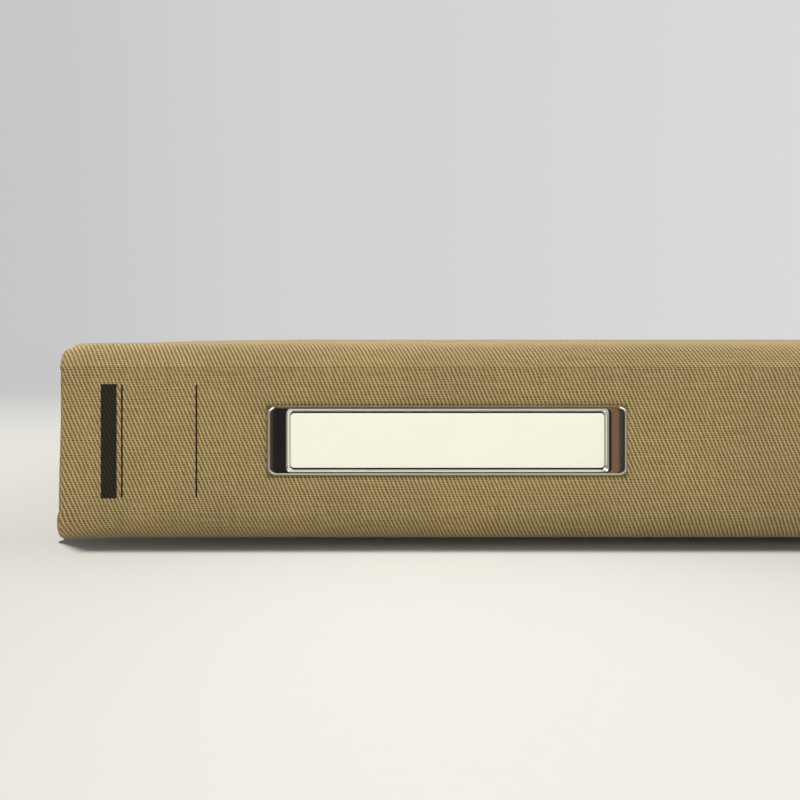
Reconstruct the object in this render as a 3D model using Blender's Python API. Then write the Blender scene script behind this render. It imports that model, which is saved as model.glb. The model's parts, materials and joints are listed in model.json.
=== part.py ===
"""Cloth-covered ring binder, closed and lying on its back cover.

Metres, +Z up, +X along the spine. The spine's outer face looks along -Y and the fore
edge along +Y. The origin is under the middle of the whole binder, on the surface that
it lies on. The -X end is the binder's top when it stands on a shelf.
"""

import math

import bmesh
import bpy
from mathutils import Matrix, Vector

# ---- Driving dimensions ------------------------------------------------------------

LENGTH = 0.3076           # along the spine, for A4 sheets
DEPTH = 0.245             # from the spine's outer face to the fore edge
THICKNESS = 0.0411        # closed, back cover to front cover

GAP = 0.0003              # between two pieces that touch
CLOTH = 0.0006            # covering cloth
BOARD = 0.0018            # stiff board
LINING = 0.0004           # lining sheet, level with the cloth's turn-ins
TURN_IN = 0.015           # width of the cloth folded round a board's edge
SHELL = CLOTH + GAP + BOARD + GAP + LINING

SPINE_LOW = 0.0055        # height of the spine board's lower edge
SPINE_HIGH = 0.0365       # height of its upper edge
HINGE_REACH = 0.0076      # from the spine's outer face to a cover's near edge
HINGE_AXIS = 0.0016       # hinge axis, in from both outer faces
HINGE_CLEAR = 0.0006      # from a hinge strip to the cover's near edge
HINGE_LEAN = math.radians(50)   # how far the strip leans in where it leaves the spine
HINGE_STEPS = 6

HOLDER_LENGTH = 0.075     # label holder, outside
HOLDER_HEIGHT = 0.0150
HOLDER_PROUD = 0.0019     # how far it stands out from the spine
HOLDER_FROM_TOP = 0.0808  # its middle, from the binder's top end
HOLDER_CORNER = 0.0022
WINDOW_LENGTH = 0.0650
WINDOW_HEIGHT = 0.0110
CARD_LENGTH = 0.0668
CARD_HEIGHT = 0.0121
CARD_THICK = 0.0003
CHANNEL_DEPTH = 0.0009    # room for the card behind the holder's rims
PRONG_LENGTH = 0.0020
PRONG_THICK = 0.0006
PRONG_SPREAD = 0.056      # between the two prongs of one long rim

RING_COUNT = 30
RING_PITCH = 0.0095
RING_RADIUS = 0.0132      # wire's centre line
WIRE_RADIUS = 0.0010
WIRE_SIDES = 6
WIRE_STEPS = 7
RING_FROM_SPINE = 0.022   # ring centres, in from the spine's outer face
RING_HEIGHT = 0.0185      # ring centres, above the surface

PLATE_HALF_WIDTH = 0.012  # ring mechanism's arched cover plate
PLATE_SHOULDER = 0.0108
PLATE_SHOULDER_HEIGHT = 0.0076
PLATE_TOP = 0.0095
PLATE_THICK = 0.0008
PLATE_HALF_LENGTH = 0.146
PLATE_STEPS = 6
NOTCH_INNER = 0.0040      # notches that the rings come out through
NOTCH_WIDTH = 0.0028

BLADE_HALF_LENGTH = 0.1408
BLADE_OUTER = 0.0094      # blade's outer edge, on which it pivots
BLADE_INNER = 0.0002
BLADE_HEIGHT = 0.0058     # blade's middle plane
BLADE_THICK = 0.0010

POST_SPACING = 12 * RING_PITCH
POST_RADIUS = 0.0029
POST_BORE = 0.0019
RIVET_RADIUS = 0.0016
RIVET_HEAD = 0.0036
RIVET_FOOT = 0.0032
RIVET_FOOT_THICK = 0.0006
POST_NOTCH_X = 0.0036
POST_NOTCH_Y = 0.0035

LEVER_PIVOT_X = 0.1432
LEVER_PIVOT_Z = 0.0059
LEVER_BARREL = 0.0019
LEVER_BORE = 0.0011
LEVER_HALF_WIDTH = 0.0050
LEVER_ARM = 0.0010        # thickness of its sheet
PIN_RADIUS = 0.0008
PIN_HALF_LENGTH = 0.0112

ROUND_SIDES = 16

# ---- Places worked out from them ---------------------------------------------------

FACE_Y = -(DEPTH - HOLDER_PROUD) / 2      # the spine's outer face
FORE_Y = FACE_Y + DEPTH
END_X = LENGTH / 2
NEAR_Y = FACE_Y + HINGE_REACH             # near edge of both covers
RING_Y = FACE_Y + RING_FROM_SPINE
HOLDER_X = -END_X + HOLDER_FROM_TOP
HOLDER_Z = (SPINE_LOW + SPINE_HIGH) / 2
INSIDE_Z = SHELL + GAP                    # where what stands on the back lining starts


# ---- Helpers -----------------------------------------------------------------------

def clear_scene():
    for item in list(bpy.data.objects):
        bpy.data.objects.remove(item, do_unlink=True)


def make_material(name, colour, roughness, metallic=0.0):
    material = bpy.data.materials.new(name)
    material.use_nodes = True
    shader = material.node_tree.nodes["Principled BSDF"]
    shader.inputs["Base Color"].default_value = (*colour, 1.0)
    shader.inputs["Roughness"].default_value = roughness
    shader.inputs["Metallic"].default_value = metallic
    return material


def make_axis(name, place, parent=None):
    """An empty on a joint's axis, which the moving pieces hang from."""
    empty = bpy.data.objects.new(name, None)
    empty.empty_display_size = 0.01
    bpy.context.scene.collection.objects.link(empty)
    if parent is not None:
        empty.parent = parent
        empty.location = Vector(place) - parent_place(parent)
    else:
        empty.location = place
    return empty


def parent_place(empty):
    place = Vector(empty.location)
    while empty.parent is not None:
        empty = empty.parent
        place += Vector(empty.location)
    return place


def add_object(name, shape, material, axis, smooth_angle=None):
    """Turns a bmesh in world coordinates into an object whose origin is on its axis."""
    bmesh.ops.recalc_face_normals(shape, faces=shape.faces)
    mesh = bpy.data.meshes.new(name)
    shape.to_mesh(mesh)
    shape.free()
    mesh.transform(Matrix.Translation(-parent_place(axis)))
    if smooth_angle is not None:
        mesh.shade_smooth()
        mesh.set_sharp_from_angle(angle=smooth_angle)
    if material is not None:
        mesh.materials.append(material)
    item = bpy.data.objects.new(name, mesh)
    item.parent = axis
    bpy.context.scene.collection.objects.link(item)
    return item


def add_tool(name, shape, axis):
    """A shape that only cuts or joins another."""
    tool = add_object(name, shape, None, axis)
    tool.hide_render = True
    tool.display_type = "WIRE"
    return tool


def combine(item, tool, operation):
    modifier = item.modifiers.new(tool.name, "BOOLEAN")
    modifier.operation = operation
    modifier.object = tool


def box(low, high, shape=None):
    """Adds a box between two corners to a bmesh."""
    shape = shape if shape is not None else bmesh.new()
    size = [b - a for a, b in zip(low, high)]
    middle = [(a + b) / 2 for a, b in zip(low, high)]
    matrix = Matrix.Translation(middle) @ Matrix.Diagonal((*size, 1.0))
    bmesh.ops.create_cube(shape, size=1.0, matrix=matrix)
    return shape


def cylinder(centre, radius, length, direction, shape=None, sides=ROUND_SIDES):
    """Adds a cylinder about a direction, starting at its centre of one end."""
    shape = shape if shape is not None else bmesh.new()
    turn = Vector((0, 0, 1)).rotation_difference(Vector(direction)).to_matrix().to_4x4()
    middle = Vector(centre) + Vector(direction) * (length / 2)
    bmesh.ops.create_cone(shape, cap_ends=True, segments=sides, radius1=radius,
                          radius2=radius, depth=length,
                          matrix=Matrix.Translation(middle) @ turn)
    return shape


def extrude(outline, travel, shape=None):
    """Adds the solid that a flat outline of 3-D points sweeps along a travel vector."""
    shape = shape if shape is not None else bmesh.new()
    face = shape.faces.new([shape.verts.new(point) for point in outline])
    swept = bmesh.ops.extrude_face_region(shape, geom=[face])
    moved = [part for part in swept["geom"] if isinstance(part, bmesh.types.BMVert)]
    bmesh.ops.translate(shape, verts=moved, vec=travel)
    return shape


def turned(centre, profile, sides=ROUND_SIDES):
    """A solid turned about a vertical line, from (radius, height) points, top to bottom."""
    shape = bmesh.new()
    rings = []
    for radius, height in profile:
        ring = []
        for step in range(sides):
            angle = 2 * math.pi * step / sides
            ring.append(shape.verts.new((centre[0] + radius * math.cos(angle),
                                         centre[1] + radius * math.sin(angle),
                                         height)))
        rings.append(ring)
    for upper, lower in zip(rings, rings[1:]):
        for step in range(sides):
            after = (step + 1) % sides
            shape.faces.new((upper[step], lower[step], lower[after], upper[after]))
    shape.faces.new(rings[0])
    shape.faces.new(rings[-1])
    return shape


# ---- Covers and spine --------------------------------------------------------------

def make_cover(side, outer_z, inward, axis, looks):
    """A cover: board, wrapped cloth and lining. inward is +1 on the back, -1 in front."""

    def level(depth):
        return outer_z + inward * depth

    def slab(x_half, near, fore, depth_a, depth_b):
        low, high = sorted((level(depth_a), level(depth_b)))
        return box((-x_half, near, low), (x_half, fore, high))

    past = 0.002
    cloth = add_object(f"{side}_cloth", slab(END_X, NEAR_Y, FORE_Y, 0, SHELL),
                       looks["cloth"], axis)
    hollow = slab(END_X - CLOTH, NEAR_Y - past, FORE_Y - CLOTH,
                  CLOTH, SHELL - LINING)
    combine(cloth, add_tool(f"{side}_cloth_hollow", hollow, axis), "DIFFERENCE")
    window = slab(END_X - TURN_IN, NEAR_Y - past, FORE_Y - TURN_IN,
                  SHELL - LINING - GAP, SHELL + past)
    combine(cloth, add_tool(f"{side}_cloth_window", window, axis), "DIFFERENCE")

    edge = CLOTH + GAP
    board = slab(END_X - edge, NEAR_Y + GAP, FORE_Y - edge, edge, edge + BOARD)
    board = add_object(f"{side}_board", board, looks["board"], axis)

    inset = TURN_IN + GAP
    lining = slab(END_X - inset, NEAR_Y + GAP, FORE_Y - inset, SHELL - LINING, SHELL)
    lining = add_object(f"{side}_lining", lining, looks["lining"], axis)
    return cloth, board, lining


def make_spine(axis, looks):
    past = 0.002

    def slab(x_half, depth_a, depth_b, low, high):
        return box((-x_half, FACE_Y + depth_a, low), (x_half, FACE_Y + depth_b, high))

    cloth = add_object("spine_cloth", slab(END_X, 0, SHELL, SPINE_LOW, SPINE_HIGH),
                       looks["cloth"], axis)
    hollow = slab(END_X - CLOTH, CLOTH, SHELL - LINING,
                  SPINE_LOW - past, SPINE_HIGH + past)
    combine(cloth, add_tool("spine_cloth_hollow", hollow, axis), "DIFFERENCE")
    window = slab(END_X - TURN_IN, SHELL - LINING - GAP, SHELL + past,
                  SPINE_LOW - past, SPINE_HIGH + past)
    combine(cloth, add_tool("spine_cloth_window", window, axis), "DIFFERENCE")

    edge = CLOTH + GAP
    board = add_object("spine_board",
                       slab(END_X - edge, edge, edge + BOARD,
                            SPINE_LOW + GAP, SPINE_HIGH - GAP),
                       looks["board"], axis)
    add_object("spine_lining",
               slab(END_X - TURN_IN - GAP, SHELL - LINING, SHELL,
                    SPINE_LOW + GAP, SPINE_HIGH - GAP),
               looks["lining"], axis)

    slots = add_tool("prong_slots", prong_boxes(GAP, -0.001, 0.0035), axis)
    combine(cloth, slots, "DIFFERENCE")
    combine(board, slots, "DIFFERENCE")


def hinge_curve(height):
    """The strip's outer face, from the spine's edge to the cover's, as (depth, height)
    points above the cover's outer face: a quadratic curve that ends level with it."""
    bend = height * math.tan(HINGE_LEAN)
    points = []
    for step in range(HINGE_STEPS + 1):
        t = step / HINGE_STEPS
        points.append((2 * t * (1 - t) * bend + t * t * HINGE_REACH,
                       (1 - t) ** 2 * height))
    return points


def make_hinge_strip(name, board_edge, outer_z, inward, axis, looks):
    """The strip of cloth between the spine board and a cover."""
    outer = hinge_curve(abs(board_edge - outer_z) - GAP)
    reach = HINGE_REACH - HINGE_CLEAR
    outer = [point for point in outer if point[0] < reach - CLOTH] + [(reach, 0.0)]
    inner = []
    for index, (depth, height) in enumerate(outer):
        before = Vector(outer[max(index - 1, 0)])
        after = Vector(outer[min(index + 1, len(outer) - 1)])
        along = (after - before).normalized()
        inner.append((depth - along.y * CLOTH, height + along.x * CLOTH))
    inner[0] = (CLOTH, outer[0][1])
    inner[-1] = (reach, CLOTH)
    outline = [(-END_X, FACE_Y + depth, outer_z + inward * height)
               for depth, height in outer + inner[::-1]]
    add_object(name, extrude(outline, (LENGTH, 0, 0)), looks["cloth"], axis,
               smooth_angle=math.radians(35))


# ---- Label holder ------------------------------------------------------------------

def rounded_rectangle(length, height, corner, y, steps=4):
    """Points round a rounded rectangle about the holder's middle, at one depth."""
    points = []
    for turn, (sx, sz) in enumerate(((1, 1), (-1, 1), (-1, -1), (1, -1))):
        for step in range(steps + 1):
            angle = math.pi / 2 * (turn + step / steps)
            points.append((HOLDER_X + sx * (length / 2 - corner) + corner * math.cos(angle),
                           y,
                           HOLDER_Z + sz * (height / 2 - corner) + corner * math.sin(angle)))
    return points


def prong_boxes(clearance, near, far):
    """Four prongs behind the long rims, or with a clearance the slots that take them."""
    shape = bmesh.new()
    rim_z = (HOLDER_HEIGHT / 2 + CARD_HEIGHT / 2 + GAP) / 2
    half_x = PRONG_LENGTH / 2 + clearance
    half_z = PRONG_THICK / 2 + clearance
    for side_x in (-1, 1):
        for side_z in (-1, 1):
            x = HOLDER_X + side_x * PRONG_SPREAD / 2
            z = HOLDER_Z + side_z * rim_z
            box((x - half_x, FACE_Y + near, z - half_z),
                (x + half_x, FACE_Y + far, z + half_z), shape)
    return shape


def make_label(axis, card_axis, looks):
    back = FACE_Y - GAP
    front = FACE_Y - HOLDER_PROUD
    edge = 0.0006
    low = rounded_rectangle(HOLDER_LENGTH, HOLDER_HEIGHT, HOLDER_CORNER, back)
    middle = rounded_rectangle(HOLDER_LENGTH, HOLDER_HEIGHT, HOLDER_CORNER, front + edge)
    high = rounded_rectangle(HOLDER_LENGTH - 2 * edge, HOLDER_HEIGHT - 2 * edge,
                             HOLDER_CORNER - edge, front)
    shape = bmesh.new()
    rings = [[shape.verts.new(point) for point in ring] for ring in (low, middle, high)]
    for upper, lower in zip(rings, rings[1:]):
        for step in range(len(upper)):
            after = (step + 1) % len(upper)
            shape.faces.new((upper[step], lower[step], lower[after], upper[after]))
    shape.faces.new(rings[0])
    shape.faces.new(rings[-1])
    holder = add_object("label_holder", shape, looks["chrome"], axis)

    past = 0.003
    window = box((HOLDER_X - WINDOW_LENGTH / 2, front - past, HOLDER_Z - WINDOW_HEIGHT / 2),
                 (HOLDER_X + WINDOW_LENGTH / 2, back + past, HOLDER_Z + WINDOW_HEIGHT / 2))
    combine(holder, add_tool("holder_window", window, axis), "DIFFERENCE")
    channel = box((HOLDER_X - HOLDER_LENGTH / 2 - past, back - CHANNEL_DEPTH,
                   HOLDER_Z - CARD_HEIGHT / 2 - GAP),
                  (HOLDER_X + CARD_LENGTH / 2 + GAP, back + past,
                   HOLDER_Z + CARD_HEIGHT / 2 + GAP))
    combine(holder, add_tool("card_channel", channel, axis), "DIFFERENCE")
    prongs = prong_boxes(0, -0.0009, CLOTH + GAP + 0.7 * BOARD)
    combine(holder, add_tool("holder_prongs", prongs, axis), "UNION")

    card_back = back - GAP
    card = box((HOLDER_X - CARD_LENGTH / 2, card_back - CARD_THICK,
                HOLDER_Z - CARD_HEIGHT / 2),
               (HOLDER_X + CARD_LENGTH / 2, card_back, HOLDER_Z + CARD_HEIGHT / 2))
    add_object("label_card", card, looks["card"], card_axis)


# ---- Ring mechanism ----------------------------------------------------------------

def ring_places():
    first = -(RING_COUNT - 1) / 2 * RING_PITCH
    return [first + index * RING_PITCH for index in range(RING_COUNT)]


def post_places():
    return {"top": -POST_SPACING, "middle": 0.0, "bottom": POST_SPACING}


def plate_section(half_width, shoulder, shoulder_height, top):
    """Half-open arch of the cover plate, from one foot over the crown to the other."""
    points = [(-half_width, INSIDE_Z)]
    for step in range(PLATE_STEPS + 1):
        across = -1 + 2 * step / PLATE_STEPS
        points.append((across * shoulder, top - (top - shoulder_height) * across ** 2))
    points.append((half_width, INSIDE_Z))
    return points


def make_plate(axis, looks):
    outer = plate_section(PLATE_HALF_WIDTH, PLATE_SHOULDER, PLATE_SHOULDER_HEIGHT,
                          PLATE_TOP)
    inner = plate_section(PLATE_HALF_WIDTH - PLATE_THICK, PLATE_SHOULDER - PLATE_THICK,
                          PLATE_SHOULDER_HEIGHT - PLATE_THICK, PLATE_TOP - PLATE_THICK)
    outline = [(-PLATE_HALF_LENGTH, RING_Y + y, z) for y, z in outer + inner[::-1]]
    plate = add_object("ring_plate", extrude(outline, (2 * PLATE_HALF_LENGTH, 0, 0)),
                       looks["nickel"], axis)

    past = 0.001
    notches = bmesh.new()
    for x in ring_places():
        for side in (-1, 1):
            edges = sorted((RING_Y + side * NOTCH_INNER,
                            RING_Y + side * (PLATE_HALF_WIDTH + past)))
            box((x - NOTCH_WIDTH / 2, edges[0], INSIDE_Z - past),
                (x + NOTCH_WIDTH / 2, edges[1], PLATE_TOP + past), notches)
    combine(plate, add_tool("ring_notches", notches, axis), "DIFFERENCE")

    holes = bmesh.new()
    for x in post_places().values():
        cylinder((x, RING_Y, INSIDE_Z), RIVET_RADIUS + GAP, PLATE_TOP, (0, 0, 1), holes)
    for side in (-1, 1):
        cylinder((side * LEVER_PIVOT_X, RING_Y - 2 * PLATE_HALF_WIDTH, LEVER_PIVOT_Z),
                 PIN_RADIUS + GAP, 4 * PLATE_HALF_WIDTH, (0, 1, 0), holes, sides=12)
    combine(plate, add_tool("plate_holes", holes, axis), "DIFFERENCE")


def make_posts(axis, back_board, back_lining, looks):
    foot_bottom = CLOTH + GAP
    foot_top = foot_bottom + RIVET_FOOT_THICK
    head_bottom = PLATE_TOP + GAP
    holes = bmesh.new()
    feet = bmesh.new()
    for place, x in post_places().items():
        centre = (x, RING_Y)
        rivet = turned(centre, ((RIVET_HEAD * 0.45, head_bottom + 0.0012),
                                (RIVET_HEAD * 0.85, head_bottom + 0.0008),
                                (RIVET_HEAD, head_bottom),
                                (RIVET_RADIUS, head_bottom),
                                (RIVET_RADIUS, foot_top),
                                (RIVET_FOOT, foot_top),
                                (RIVET_FOOT, foot_bottom)))
        add_object(f"rivet_{place}", rivet, looks["nickel"], axis,
                   smooth_angle=math.radians(40))
        top = PLATE_TOP - PLATE_THICK - GAP
        post = add_object(f"post_{place}",
                          cylinder((x, RING_Y, INSIDE_Z), POST_RADIUS, top - INSIDE_Z,
                                   (0, 0, 1)),
                          looks["nickel"], axis, smooth_angle=math.radians(40))
        bore = cylinder((x, RING_Y, 0), POST_BORE, 2 * PLATE_TOP, (0, 0, 1))
        combine(post, add_tool(f"post_bore_{place}", bore, axis), "DIFFERENCE")
        cylinder((x, RING_Y, 0), POST_BORE, 2 * PLATE_TOP, (0, 0, 1), holes)
        cylinder((x, RING_Y, 0), RIVET_FOOT + GAP, foot_top + GAP, (0, 0, 1), feet)
    holes = add_tool("rivet_holes", holes, axis)
    combine(back_board, holes, "DIFFERENCE")
    combine(back_lining, holes, "DIFFERENCE")
    combine(back_board, add_tool("rivet_feet", feet, axis), "DIFFERENCE")


def half_rings(side):
    """The wires of all the half rings on one side of the ring centres."""
    shape = bmesh.new()
    start = math.acos((RING_HEIGHT - BLADE_HEIGHT) / RING_RADIUS)
    stop = math.pi - math.asin(GAP / 2 / RING_RADIUS)
    for x in ring_places():
        rings = []
        for step in range(WIRE_STEPS + 1):
            bend = start + (stop - start) * step / WIRE_STEPS
            ring = []
            for corner in range(WIRE_SIDES):
                angle = 2 * math.pi * corner / WIRE_SIDES
                radius = RING_RADIUS + WIRE_RADIUS * math.cos(angle)
                ring.append(shape.verts.new((x + WIRE_RADIUS * math.sin(angle),
                                             RING_Y + side * radius * math.sin(bend),
                                             RING_HEIGHT - radius * math.cos(bend))))
            rings.append(ring)
        for first, second in zip(rings, rings[1:]):
            for corner in range(WIRE_SIDES):
                after = (corner + 1) % WIRE_SIDES
                shape.faces.new((first[corner], second[corner],
                                 second[after], first[after]))
        shape.faces.new(rings[0])
        shape.faces.new(rings[-1])
    return shape


def make_blade(name, side, axis, looks):
    """One pivoting blade with its half of every ring. side is -1 towards the spine."""
    edges = sorted((RING_Y + side * BLADE_INNER, RING_Y + side * BLADE_OUTER))
    blade = add_object(name,
                       box((-BLADE_HALF_LENGTH, edges[0], BLADE_HEIGHT - BLADE_THICK / 2),
                           (BLADE_HALF_LENGTH, edges[1], BLADE_HEIGHT + BLADE_THICK / 2)),
                       looks["nickel"], axis, smooth_angle=math.radians(40))
    notches = bmesh.new()
    for x in post_places().values():
        box((x - POST_NOTCH_X, RING_Y - POST_NOTCH_Y, 0),
            (x + POST_NOTCH_X, RING_Y + POST_NOTCH_Y, PLATE_TOP), notches)
    combine(blade, add_tool(f"{name}_notches", notches, axis), "DIFFERENCE")
    combine(blade, add_tool(f"{name}_wires", half_rings(side), axis), "UNION")


def make_lever(place, side, axis, plate_axis, looks):
    """End lever: a barrel on its pin, a tongue under the blades and a finger pad."""

    def at(x, z):
        return (side * x, RING_Y - LEVER_HALF_WIDTH, z)

    barrel = cylinder((side * LEVER_PIVOT_X, RING_Y - LEVER_HALF_WIDTH, LEVER_PIVOT_Z),
                      LEVER_BARREL, 2 * LEVER_HALF_WIDTH, (0, 1, 0))
    lever = add_object(f"{place}_lever", barrel, looks["nickel"], axis,
                       smooth_angle=math.radians(40))

    arm_x = LEVER_PIVOT_X + 0.0008
    low = LEVER_PIVOT_Z - LEVER_ARM / 2
    high = LEVER_PIVOT_Z + LEVER_ARM / 2
    knee_x = LEVER_PIVOT_X + 0.0036
    tip_x = LEVER_PIVOT_X + 0.0064
    tip_z = LEVER_PIVOT_Z + 0.0076
    outline = [at(arm_x, high), at(knee_x, high), at(tip_x, tip_z),
               at(tip_x + LEVER_ARM, tip_z - 0.0004), at(knee_x + LEVER_ARM, low),
               at(arm_x, low)]
    arm = extrude(outline, (0, 2 * LEVER_HALF_WIDTH, 0))
    combine(lever, add_tool(f"{place}_lever_arm", arm, axis), "UNION")

    tongue_x = sorted((side * (LEVER_PIVOT_X - 0.0036), side * (LEVER_PIVOT_X - 0.0004)))
    tongue = box((tongue_x[0], RING_Y - 0.002, LEVER_PIVOT_Z - 0.0017),
                 (tongue_x[1], RING_Y + 0.002, LEVER_PIVOT_Z - 0.0009))
    combine(lever, add_tool(f"{place}_lever_tongue", tongue, axis), "UNION")
    bore = cylinder((side * LEVER_PIVOT_X, RING_Y - 2 * LEVER_HALF_WIDTH, LEVER_PIVOT_Z),
                    LEVER_BORE, 4 * LEVER_HALF_WIDTH, (0, 1, 0))
    combine(lever, add_tool(f"{place}_lever_bore", bore, axis), "DIFFERENCE")

    pin = cylinder((side * LEVER_PIVOT_X, RING_Y - PIN_HALF_LENGTH, LEVER_PIVOT_Z),
                   PIN_RADIUS, 2 * PIN_HALF_LENGTH, (0, 1, 0), sides=12)
    add_object(f"{place}_lever_pin", pin, looks["nickel"], plate_axis,
               smooth_angle=math.radians(40))


# ---- The binder --------------------------------------------------------------------

def main():
    clear_scene()
    looks = {
        "cloth": make_material("cloth", (0.38, 0.26, 0.11), 0.9),
        "board": make_material("board", (0.36, 0.33, 0.28), 0.95),
        "lining": make_material("lining", (0.66, 0.60, 0.47), 0.85),
        "chrome": make_material("chrome", (0.80, 0.79, 0.77), 0.12, 1.0),
        "nickel": make_material("nickel", (0.72, 0.71, 0.68), 0.22, 1.0),
        "card": make_material("card", (0.90, 0.88, 0.76), 0.8),
    }

    base = make_axis("back_cover_base", (0, 0, 0))
    spine_axis = make_axis("spine_axis", (0, FACE_Y + HINGE_AXIS, HINGE_AXIS), base)
    front_axis = make_axis("front_axis", (0, FACE_Y + HINGE_AXIS, THICKNESS - HINGE_AXIS),
                           spine_axis)
    card_axis = make_axis("card_slide", (HOLDER_X, FACE_Y, HOLDER_Z), spine_axis)
    spine_side_axis = make_axis("spine_side_pivot",
                                (0, RING_Y - BLADE_OUTER, BLADE_HEIGHT), base)
    fore_side_axis = make_axis("fore_side_pivot",
                               (0, RING_Y + BLADE_OUTER, BLADE_HEIGHT), base)
    top_lever_axis = make_axis("top_lever_pivot",
                               (-LEVER_PIVOT_X, RING_Y, LEVER_PIVOT_Z), base)
    bottom_lever_axis = make_axis("bottom_lever_pivot",
                                  (LEVER_PIVOT_X, RING_Y, LEVER_PIVOT_Z), base)

    _, back_board, back_lining = make_cover("back", 0.0, 1, base, looks)
    make_cover("front", THICKNESS, -1, front_axis, looks)
    make_spine(spine_axis, looks)
    make_hinge_strip("lower_hinge_strip", SPINE_LOW, 0.0, 1, spine_axis, looks)
    make_hinge_strip("upper_hinge_strip", SPINE_HIGH, THICKNESS, -1, spine_axis, looks)
    make_label(spine_axis, card_axis, looks)
    make_plate(base, looks)
    make_posts(base, back_board, back_lining, looks)
    make_blade("spine_side_rings", -1, spine_side_axis, looks)
    make_blade("fore_side_rings", 1, fore_side_axis, looks)
    make_lever("top", -1, top_lever_axis, base, looks)
    make_lever("bottom", 1, bottom_lever_axis, base, looks)


main()
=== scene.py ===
"""Looks of a cloth-covered ring binder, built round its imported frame. Metres, +Z up."""

import json
import math

import bmesh
import bpy
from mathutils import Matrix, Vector, noise


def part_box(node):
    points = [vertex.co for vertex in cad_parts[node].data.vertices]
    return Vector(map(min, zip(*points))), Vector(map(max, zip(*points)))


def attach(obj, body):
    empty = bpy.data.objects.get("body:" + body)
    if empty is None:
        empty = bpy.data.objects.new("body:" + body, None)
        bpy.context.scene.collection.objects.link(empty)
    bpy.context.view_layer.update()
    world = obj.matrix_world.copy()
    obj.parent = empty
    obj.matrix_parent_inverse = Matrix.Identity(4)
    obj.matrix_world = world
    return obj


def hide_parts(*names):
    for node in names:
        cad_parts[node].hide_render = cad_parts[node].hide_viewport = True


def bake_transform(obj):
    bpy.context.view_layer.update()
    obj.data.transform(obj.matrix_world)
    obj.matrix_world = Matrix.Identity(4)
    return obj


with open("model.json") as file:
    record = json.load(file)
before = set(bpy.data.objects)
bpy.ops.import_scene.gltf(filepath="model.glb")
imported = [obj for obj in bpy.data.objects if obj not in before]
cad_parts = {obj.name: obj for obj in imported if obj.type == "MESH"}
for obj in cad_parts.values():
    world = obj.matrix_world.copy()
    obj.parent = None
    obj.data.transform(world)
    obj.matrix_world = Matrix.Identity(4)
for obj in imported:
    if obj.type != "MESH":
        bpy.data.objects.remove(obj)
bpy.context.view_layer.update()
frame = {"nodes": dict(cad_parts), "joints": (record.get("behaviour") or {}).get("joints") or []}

MM = 0.001

# ---- Places read from the frame ----

BACK_LOW, BACK_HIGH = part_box("back_cloth")
_, FRONT_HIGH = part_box("front_cloth")
SPINE_MIN, SPINE_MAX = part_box("spine_cloth")
HOLDER_MIN, HOLDER_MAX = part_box("label_holder")
CARD_MIN, CARD_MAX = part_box("label_card")
PLATE_MIN, PLATE_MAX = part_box("ring_plate")
PIVOTS = {joint["name"]: joint.get("pos_m") for joint in frame["joints"]}

FACE_Y = SPINE_MIN.y
NEAR_Y = BACK_LOW.y
FORE_Y = BACK_HIGH.y
END_X = BACK_HIGH.x
SPINE_LOW = SPINE_MIN.z
SPINE_HIGH = SPINE_MAX.z
THICKNESS = FRONT_HIGH.z
SHELL = BACK_HIGH.z - BACK_LOW.z          # thickness of a covered board
RING_Y = (PIVOTS["ring_opening"][1] + PIVOTS["fore_side_opening"][1]) / 2
BLADE_Z = PIVOTS["ring_opening"][2]
LEVER_X, _, LEVER_Z = PIVOTS["bottom_lever_hinge"]
HOLDER_X, _, HOLDER_Z = (HOLDER_MIN + HOLDER_MAX) / 2
HOLDER_HALF_X, _, HOLDER_HALF_Z = (HOLDER_MAX - HOLDER_MIN) / 2

# ---- Sizes of the looks ----

TURN_IN = 15 * MM
EDGE_ROUND = 0.9 * MM         # cloth round a board's edge
CORNER_ROUND = 1.7 * MM       # a cover's corner, seen from above
FOLD_LIFT = 0.12 * MM         # cloth folded double at a corner of the turn-in
CHAMFER = 0.2 * MM            # softened edge of a sheet

NEAR_LIFT = 0.25 * MM         # the closed front cover slopes down to its fore edge,
FORE_LIFT = -0.25 * MM
END_SAG = 0.42 * MM           # sags a little along its two ends,
SAG_WIDTH = 45 * MM
CORNER_DROOP = 1.1 * MM       # and its corners by the spine round down under the cloth
DROOP_WIDTH = 6 * MM
DROOP_START = 5 * MM          # depth over which the hinge cloth joins the droop

STRIP_THICK = 1.1 * MM        # doubled cloth over the hinge
CREASE = 0.6 * MM             # cloth taken up by the bend where the strip leaves the spine
END_BULGE = 11 * MM           # length over which a hinge's ends puff out,
BULGE_INSET = 2 * MM          # up to this far in from them
# How full each strip bulges along its middle and at its ends, and how far it spills past them.
UPPER_FILL = (0.0, 0.1, 0.2 * MM)
LOWER_FILL = (0.3, 1.0, 0.45 * MM)

LEAN_OUT = 0.42 * MM          # the spine's ends lean outwards towards the back cover
LEAN_TOP = 28 * MM            # they are upright above this height
LEAN_DROP = 20 * MM
LEAN_REACH = 4 * MM           # length of cloth at each end that follows the lean

LINING_INSET = 4 * MM
LINING_RISE = 0.04 * MM
LINING_STEP = 0.32 * MM       # down from the turned-in cloth to the board
STEP_WIDTH = 1.6 * MM

WARP = 0.209                  # weave spacings, in millimetres like the weave's own map
WEFT = 0.509
SKEW = 0.016
DIP_REACH = (1.25, 0.36)      # how far each dip reaches, in warps and in wefts
RIB_HEIGHT = 0.22             # shares of the weave's relief
YARN_HEIGHT = 0.10
DIP_DEPTH = 0.46
FLAT_HEIGHT = 0.52
WEAVE_DEPTH = 0.13 * MM

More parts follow.
